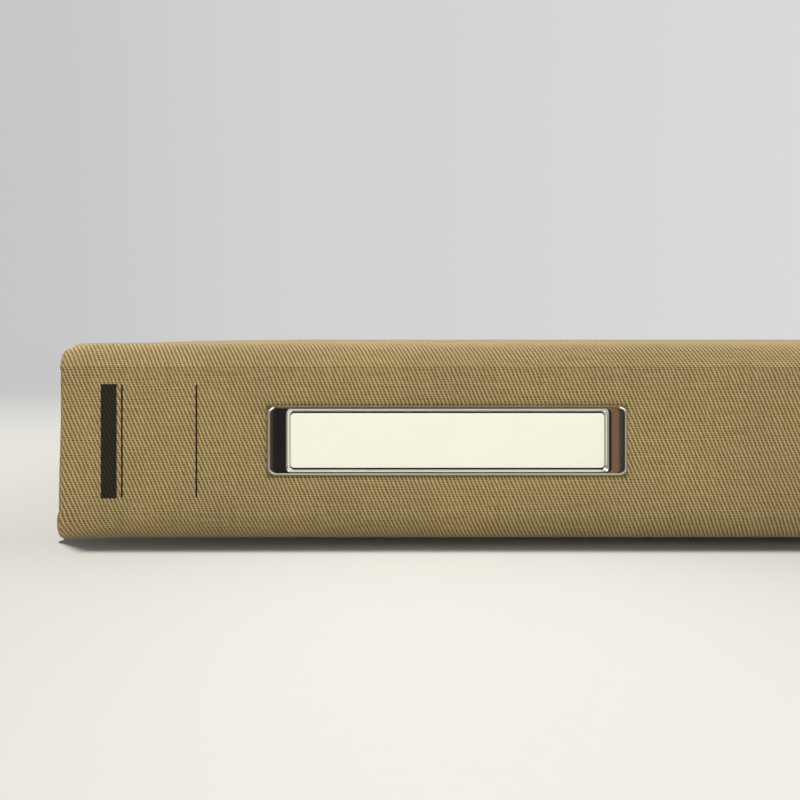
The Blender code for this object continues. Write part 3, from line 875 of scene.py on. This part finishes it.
# Section of the pressed frame in millimetres: in from its outer edge at the two ends,
# in from it along the two long rims, corner radius, and how far below the crown.
CROWN = 1000 * (FACE_Y - HOLDER_MIN.y)
FRAME_SECTION = (
    (0.30, 0.40, 1.5, CROWN - 0.1),
    (0.02, 0.16, 1.7, 1.68),
    (0.00, 0.14, 1.7, 1.40),
    (0.07, 0.22, 1.7, 0.90),
    (0.22, 0.35, 1.6, 0.45),
    (0.50, 0.49, 1.5, 0.17),
    (0.95, 0.62, 1.3, 0.06),
    (1.70, 0.72, 1.1, 0.02),
    (2.60, 0.80, 1.0, 0.00),
    (3.90, 0.90, 1.0, 0.02),
    (4.22, 1.04, 0.9, 0.12),
    (4.44, 1.20, 0.8, 0.36),
    (4.70, 1.36, 0.8, 0.72),
    (4.86, 1.46, 0.7, 0.86),
)
# A short lip turned in round the window; its near-black colour is a painted shadow of the gap to
# the card.
SHADOW_LIP_SECTION = ((4.87, 1.50, 0.7, 0.90), (4.88, 1.82, 0.7, 0.94), (4.60, 1.76, 0.7, 1.20))
SLOT_INSET = 1.0 * MM         # the card's slot through the frame's upper end
SLOT_HALF = 6.3 * MM
SLOT_CLEAR = 0.72 * MM


def frame_row(key):
    """Corners round the frame at one key of its section."""
    end, rim, corner, below = key
    half_x = HOLDER_HALF_X - MM * end
    half_z = HOLDER_HALF_Z - MM * rim
    corner *= MM
    row = []
    for turn, (sx, sz) in enumerate(((1, 1), (-1, 1), (-1, -1), (1, -1))):
        for angle in evenly(CORNER_STEPS, math.pi / 2 * turn, math.pi / 2 * (turn + 1)):
            point = Vector((HOLDER_X + sx * (half_x - corner) + corner * math.cos(angle),
                            HOLDER_MIN.y + MM * below,
                            HOLDER_Z + sz * (half_z - corner) + corner * math.sin(angle)))
            point.z += HOLDER_RISE
            at_end = point.x < HOLDER_X - HOLDER_HALF_X + SLOT_INSET
            if at_end and abs(point.z - HOLDER_Z) < SLOT_HALF:
                point.y = min(point.y, FACE_Y - SLOT_CLEAR)
            row.append((point, (point.x, point.z + MM * below)))
    return row + row[:1]


def make_holder(material, shadow_lip_material):
    """Pressed frame: a steep outer flank, a crown that is wide at both ends, a slope down
    to the window with a slot at the upper end, and a lip round the window coloured near-black, a
    painted shadow of the gap to the card."""
    skin = Skin()
    rows = [frame_row(key) for key in smooth_keys(FRAME_SECTION, 4)]
    skin.grid(rows, flip=True)
    plated_faces = len(skin.faces)
    skin.grid(rows[-1:] + [frame_row(key) for key in SHADOW_LIP_SECTION], flip=True)
    item = skin.finish("label_frame", material, sharp=60)
    item.data.materials.append(shadow_lip_material)
    for polygon in item.data.polygons:
        if polygon.index >= plated_faces:
            polygon.material_index = 1
    return item


def make_card(material):
    """Cream card, bowed very slightly in its channel."""
    bow = 0.06 * MM
    half_x, _, half_z = (CARD_MAX - CARD_MIN) / 2

    def face_rows(y):
        return [[((HOLDER_X + x, y - bow * math.cos(math.pi * z / (2 * half_z)),
                   HOLDER_Z + HOLDER_RISE + z), (x, z))
                 for x in spread(-half_x, half_x, 2.5 * MM)]
                for z in spread(-half_z, half_z, 1.5 * MM)]

    front = face_rows(CARD_MIN.y)
    back = face_rows(CARD_MAX.y)
    skin = Skin()
    skin.grid(front)
    skin.grid(back, flip=True)
    for end, flip in ((0, True), (-1, False)):
        skin.grid([front[end], back[end]], flip=flip)
        skin.grid([[row[end] for row in front], [row[end] for row in back]], flip=not flip)
    return skin.finish("card_insert", material, sharp=30)


# ---- Ring mechanism ----

RING_PLACES = [(index - (RING_COUNT - 1) / 2) * RING_PITCH for index in range(RING_COUNT)]


def make_half_rings(name, side, material):
    """One blade with its thirty half rings. side is -1 towards the spine."""
    skin = Skin()
    start = math.acos((RING_HEIGHT - BLADE_Z) / RING_RADIUS)
    bends = evenly(26, start, math.pi - side * 0.028 - 0.012)     # the tips pass each other
    radii = [WIRE_RADIUS * share for share in [1.0] * (len(bends) - 2) + [0.88, 0.55]]
    for x in RING_PLACES:
        path = [Vector((x, RING_Y + side * RING_RADIUS * math.sin(bend),
                        RING_HEIGHT - RING_RADIUS * math.cos(bend))) for bend in bends]
        tube(skin, path, radii, 12)

    # The blade is cut back where a post stands in its inner edge.
    half = BLADE_THICK / 2
    cuts = [-BLADE_HALF_LENGTH]
    for x in (-POST_X, 0.0, POST_X):
        cuts += [x - POST_CUT_X, x + POST_CUT_X]
    cuts.append(BLADE_HALF_LENGTH)
    for index, (x0, x1) in enumerate(zip(cuts, cuts[1:])):
        inner = POST_CUT_Y if index % 2 else BLADE_INNER
        y0, y1 = sorted((RING_Y + side * inner, RING_Y + side * BLADE_OUTER))
        outline = [(y0 + CHAMFER, -half), (y1 - CHAMFER, -half), (y1, CHAMFER - half),
                   (y1, half - CHAMFER), (y1 - CHAMFER, half), (y0 + CHAMFER, half),
                   (y0, half - CHAMFER), (y0, CHAMFER - half)]
        bar(skin, [(y, BLADE_Z + z) for y, z in outline], x0, x1)
    return skin.finish(name, material)


# Half of the plate's arch, in millimetres: out from its middle, and below its top.
PLATE_ARCH = ((0.0, 0.0), (2.0, 0.05), (4.0, 0.22), (6.4, 0.58), (8.8, 1.12), (10.4, 1.65),
              (11.3, 2.25), (11.75, 3.1), (11.92, 4.4), (12.0, 6.0))
NOTCH_START = 4.0 * MM
NOTCH_HALF = 1.4 * MM


def punched(skin, outer, inner, kept):
    """A sheet between two grids of points, with walls round the cells that kept leaves out."""
    rows = len(outer) - 1
    cols = len(outer[0]) - 1

    def solid(r, c):
        return 0 <= r < rows and 0 <= c < cols and kept(r, c)

    def add(corners):
        skin.face([(point, (point.x, point.y)) for point in corners])

    for r in range(rows):
        for c in range(cols):
            if not solid(r, c):
                continue
            ring = [(r, c), (r + 1, c), (r + 1, c + 1), (r, c + 1)]
            add([outer[a][b] for a, b in ring])
            add([inner[a][b] for a, b in reversed(ring)])
            for index, beside in enumerate(((r, c - 1), (r + 1, c), (r, c + 1), (r - 1, c))):
                if not solid(*beside):
                    (a, b), (d, e) = ring[index], ring[(index + 1) % 4]
                    add([outer[d][e], outer[a][b], inner[a][b], inner[d][e]])


def make_plate(material):
    """Arched cover of the mechanism: one bent sheet, notched where the rings come out."""
    half = smooth_keys(PLATE_ARCH, 3)
    section = [(-y, z) for y, z in reversed(half)] + half[1:]
    points = [Vector((MM * y, PLATE_MAX.z - MM * below)) for y, below in section]
    inside = []
    for index, point in enumerate(points):
        along = heading(points, index)
        inside.append(point + Vector((along.y, -along.x)) * PLATE_THICK)
    xs = [PLATE_MIN.x]
    for x in RING_PLACES:
        xs += [x - NOTCH_HALF, x + NOTCH_HALF]
    xs.append(PLATE_MAX.x)

    def kept(r, c):
        return r % 2 == 0 or abs(points[c].x + points[c + 1].x) / 2 < NOTCH_START

    outer, inner = [[[Vector((x, RING_Y + p.x, p.y)) for p in side] for x in xs]
                    for side in (points, inside)]
    skin = Skin()
    punched(skin, outer, inner, kept)
    return skin.finish("arched_plate", material)


# Rivet, in millimetres: height above the plate's top, and radius.
RIVET = ((-4.0, 1.6), (0.05, 1.6), (0.06, 3.35), (0.16, 3.6), (0.36, 3.5),
         (0.66, 3.0), (0.92, 2.2), (1.10, 1.3), (1.18, 0.5))


def make_rivet(name, x, material):
    """A domed head on a short shank."""
    skin = Skin()
    turned(skin, Vector((x, RING_Y, PLATE_MAX.z)), (0, 0, 1), RIVET, 32)
    return skin.finish(name, material)


# Lever, in millimetres from its pin: its barrel as (along the pin, radius), the middle of
# its sheet as (outwards, up), and the sheet's outline as shares of half its width and
# half its thickness.
LEVER_BARREL = ((-5.0, 1.71), (-4.85, 1.9), (4.85, 1.9), (5.0, 1.71))
LEVER_PATH = ((0.9, 0.0), (2.0, 0.0), (3.0, 0.15), (3.8, 0.75), (4.4, 1.8), (5.0, 3.3),
              (5.7, 5.1), (6.3, 6.5), (7.0, 7.35))
LEVER_OUTLINE = ((-1, -0.6), (-0.97, -1), (0.97, -1), (1, -0.6),
                 (1, 0.6), (0.97, 1), (-0.97, 1), (-1, 0.6))
LEVER_HALF_WIDTH = 5.0
LEVER_TIP = (1.6, 5)          # how much narrower its tip is, over how many path points
LEVER_HALF_THICK = 0.42
TIP_HALF_THICK = 0.2


def make_lever(name, side, material):
    """A barrel rolled round the pin, and a sheet that bends up into a finger tab."""
    skin = Skin()
    pin = Vector((side * LEVER_X, RING_Y, LEVER_Z))
    turned(skin, pin, (0, 1, 0), LEVER_BARREL, 24)
    path = [Vector(key) for key in smooth_keys(LEVER_PATH, 4)]
    rows = []
    for index, at in enumerate(path):
        along = heading(path, index)
        left = len(path) - 1 - index
        width = LEVER_HALF_WIDTH - LEVER_TIP[0] * max(0.0, 1 - left / LEVER_TIP[1]) ** 2
        thick = LEVER_HALF_THICK if left else TIP_HALF_THICK
        row = []
        for across, through in LEVER_OUTLINE:
            out = at.x - along.y * thick * through
            up = at.y + along.x * thick * through
            point = pin + MM * Vector((side * out, side * width * across, up))
            row.append((point, (point.x, point.y)))
        rows.append(row + row[:1])
    skin.rod(rows)
    return skin.finish(name, material)


# ---- Camera, light and floor ----

CAMERA_PLACE = (-0.0949, FACE_Y - 0.225, 0.0435)
CAMERA_LENS = 48.5
CAMERA_SHIFT = (0.0725, -0.0832)
# Name, place, target, size and power.
LIGHTS = (
    ("key", (-0.36, 0.21, 1.23), (-0.09, -0.12, 0.0), (0.13, 0.13), 18.9),
    ("fill", (-0.10, -1.32, 0.03), (-0.05, -0.12, 0.02), (1.0, 0.06), 9.5),
)


def make_camera():
    camera = bpy.data.cameras.new("camera")
    camera.sensor_width = 36.0
    camera.lens = CAMERA_LENS
    camera.shift_x, camera.shift_y = CAMERA_SHIFT
    camera.clip_start = 0.005
    camera.dof.use_dof = False
    item = add_object("camera", camera)
    item.location = CAMERA_PLACE
    item.rotation_euler = (math.radians(90), 0, 0)
    bpy.context.scene.camera = item


def make_lights():
    for name, place, target, size, power in LIGHTS:
        lamp = bpy.data.lights.new(name, "AREA")
        lamp.shape = "RECTANGLE"
        lamp.size, lamp.size_y = size
        lamp.energy = power
        item = add_object(name, lamp)
        item.location = place
        item.rotation_euler = (Vector(target) - Vector(place)).to_track_quat("-Z", "Y").to_euler()
        item.visible_camera = False
        item.visible_glossy = False
    bpy.context.scene.view_settings.view_transform = "Standard"


# All steps are Nodes.layers steps on a direction's parts: 0 is x, 1 is y and 2 is z.
BACKDROP = (0.575, 0.570, 0.572)                          # at the left
BACKDROP_STEPS = ((0, -0.32, 0.0, (0.650, 0.652, 0.640)), (0, 0.0, 0.42, (0.705, 0.700, 0.715)))

SKY_LEFT = (0.42, 0.44, 0.48)                             # soft light from the rear only
SKY_STEPS = ((0, -0.5, 0.5, (1.46, 1.48, 1.52)), (1, 0.10, -0.12, (0.0, 0.0, 0.0)))

# Polished metal sees a dark room with a wooden wall at the right,
ROOM_DARK = (0.021, 0.020, 0.019)
ROOM_STEPS = (
    (0, 0.15, 0.22, (0.220, 0.132, 0.078)),
    (0, -0.12, -0.22, (0.075, 0.050, 0.034)),
    (0, 0.28, 0.33, (0.050, 0.042, 0.034)),
    (0, 0.50, 0.66, (0.42, 0.42, 0.38)),
    (0, -0.50, -0.66, (0.38, 0.37, 0.33)),
)
BEHIND = (0.45, 0.40, 0.34)                               # warm cloth beside the spine,
BEHIND_STEPS = ((0, 0.0, 0.3, (0.10, 0.09, 0.07)),)
HIGH = (0.13, 0.12, 0.105)                                # windows high at both sides,
HIGH_STEPS = ((0, 0.32, 0.44, (1.5, 1.5, 1.46)), (0, -0.32, -0.44, (1.5, 1.5, 1.46)))
TABLE = (0.64, 0.61, 0.55)                                # the pale table below,
REAR = (0.85, 0.85, 0.85)                                 # and the backdrop behind.


def make_world():
    """Pale backdrop, soft light from the rear, and a dim room in front of the spine for
    polished metal to reflect."""
    world = bpy.data.worlds.new("studio")
    bpy.context.scene.world = world
    world.use_nodes = True
    world.node_tree.nodes.clear()
    sky = Nodes(world.node_tree)
    path = sky.add("LightPath", {}).outputs
    at = sky.split(sky.add("TexCoord", {}).outputs["Generated"])

    soft = sky.layers(at, SKY_LEFT, SKY_STEPS)
    seen = sky.layers(at, sky.layers(at, ROOM_DARK, ROOM_STEPS),
                      ((1, -0.30, 0.0, sky.layers(at, BEHIND, BEHIND_STEPS)),
                       (2, 0.26, 0.40, sky.layers(at, HIGH, HIGH_STEPS)),
                       (2, -0.28, -0.42, TABLE), (1, 0.45, 0.65, REAR)))
    glows = [sky.add("Background", {0: colour}).outputs[0]
             for colour in (soft, seen, sky.layers(at, BACKDROP, BACKDROP_STEPS))]
    light = sky.switch(path["Is Glossy Ray"], glows[0], glows[1])
    light = sky.switch(path["Is Camera Ray"], light, glows[2])
    sky.add("OutputWorld", {0: light})


FLOOR_REACH = 30.0
FLOOR_Z = -0.1 * MM
FLOOR_COLOURS = ((0.3, (0.605, 0.584, 0.535)), (0.7, (0.625, 0.603, 0.552)))
PAINTED_LIGHT_X = -0.07        # painted pool of light: brightest here, and painted darker to both sides
PAINTED_FALLOFF = (0.01, 0.12, 1.0, 0.82)
FADE_Y = -0.34                # it runs into the backdrop's colour away from here
FADE = (0.28, 0.95)


def pale_floor(name):
    """Matte white paper, painted darker to both sides as a falloff of light, which glows like the
    backdrop where it runs into the distance.
    """
    s = Shade(name)
    at = s.place()
    grain = s.noise(at, 420.0, 3.0)
    tone = s.blend(grain, s.noise(at, 3.0, 3.0), 0.25)
    s.bump(grain, 0.02 * MM, 0.3)

    x, y, _ = s.split(at)
    y = s.math("SUBTRACT", y, FADE_Y)
    away = s.math("SQRT", s.math("ADD", s.math("MULTIPLY", x, x), s.math("MULTIPLY", y, y)))
    # Painted shade: the paper darkens away from a middle line, standing in for the key light's
    # falloff.
    painted_falloff = s.mapped(off_middle(s, x, PAINTED_LIGHT_X), *PAINTED_FALLOFF)
    s.set(Base_Color=s.mix(1.0, s.colours(tone, *FLOOR_COLOURS),
                           s.vector(painted_falloff, painted_falloff, painted_falloff), "MULTIPLY"),
          Roughness=0.8, Specular_IOR_Level=0.15)
    far = s.layers((s.math("DIVIDE", x, away),), BACKDROP, BACKDROP_STEPS)
    glow = s.add("Emission", {0: far}).outputs[0]
    surface = s.switch(s.mapped(away, *FADE), s.shader.outputs[0], glow)
    output = next(node for node in s.tree.nodes if node.type == "OUTPUT_MATERIAL")
    s.put(output, "Surface", surface)
    return s.material


def make_floor():
    mesh = bpy.data.meshes.new("floor")
    mesh.from_pydata([(x * FLOOR_REACH, y * FLOOR_REACH, 0)
                      for x, y in ((-1, -1), (1, -1), (1, 1), (-1, 1))], [], [(0, 1, 2, 3)])
    mesh.materials.append(pale_floor("floor_paper"))
    floor = add_object("floor", mesh)
    floor.location.z = FLOOR_Z
    floor.visible_glossy = False


# ---- The binder ----

def ride_as(item, body, node):
    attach(item, body)
    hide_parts(node)


def make_binder():
    cloth = twill("olive_twill")
    lining = paper("lining_paper", (0.72, 0.67, 0.54), (0.60, 0.54, 0.42))
    card = paper("card_stock", (0.96, 0.95, 0.81), (0.92, 0.905, 0.75), 1500.0)
    chrome = plated("holder_chrome", (0.83, 0.82, 0.80), 0.03, 0.09, (60.0, 60.0, 60.0))
    nickel = plated("ring_nickel", (0.70, 0.69, 0.66), 0.14, 0.26, (60.0, 900.0, 900.0))
    board = grey_board("grey_board")
    covers = (("front", THICKNESS, -1, FRONT_V), ("back", 0.0, 1, BACK_V))

    for end, outer_z, inward, v_near in covers:
        piece = make_cover_cloth(f"{end}_covering", outer_z, inward, v_near, cloth)
        ride_as(piece, f"{end}_cover", f"{end}_cloth")
    spine = make_spine_cloth(cloth)
    ride_as(spine, "spine", "spine_cloth")
    for end, cover, shape in (
            ("upper", "front", (THICKNESS + NEAR_LIFT, -1, UPPER_HEIGHT, SPINE_TOP, *UPPER_FILL)),
            ("lower", "back", (0.0, 1, LOWER_HEIGHT, SPINE_BOTTOM, *LOWER_FILL))):
        outer_z, inward, height, _, puff = shape[:5]
        strip = make_hinge(f"{end}_hinge_cloth", *shape, cloth)
        bend = hinge_section(height, puff)[CREASE_STEPS]
        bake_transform(strip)
        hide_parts(f"{end}_hinge_strip")

    # The shadow under the spine is almost black, so these throw no light on the floor.
    for name in ("spine_covering", "lower_hinge_cloth"):
        bpy.data.objects[name].visible_diffuse = False

    for end, outer_z, inward, _ in covers:
        ride_as(make_cover_lining(f"{end}_lining_sheet", outer_z, inward, lining),
                f"{end}_cover", f"{end}_lining")
    ride_as(make_spine_lining(lining), "spine", "spine_lining")
    ride_as(make_holder(chrome, painted_shadow_lip("holder_painted_shadow_lip")), "spine", "label_holder")
    ride_as(make_card(card), "card", "label_card")

    for end, side in (("spine", -1), ("fore", 1)):
        ride_as(make_half_rings(f"{end}_side_half_rings", side, nickel), f"{end}_side_half",
                f"{end}_side_rings")
    ride_as(make_plate(nickel), "back_cover", "ring_plate")
    for end, side in (("top", -1), ("middle", 0), ("bottom", 1)):
        ride_as(make_rivet(f"{end}_rivet_head", side * POST_X, nickel), "back_cover",
                f"rivet_{end}")
    for end, body, side in (("top", "upper_end_lever", -1), ("bottom", "lower_end_lever", 1)):
        ride_as(make_lever(f"{end}_finger_lever", side, nickel), body, f"{end}_lever")

    for name, node in frame["nodes"].items():
        if not node.hide_render:
            node.data.materials.clear()
            node.data.materials.append(board if name.endswith("_board") else nickel)


make_camera()
make_world()
make_floor()
make_lights()
make_binder()
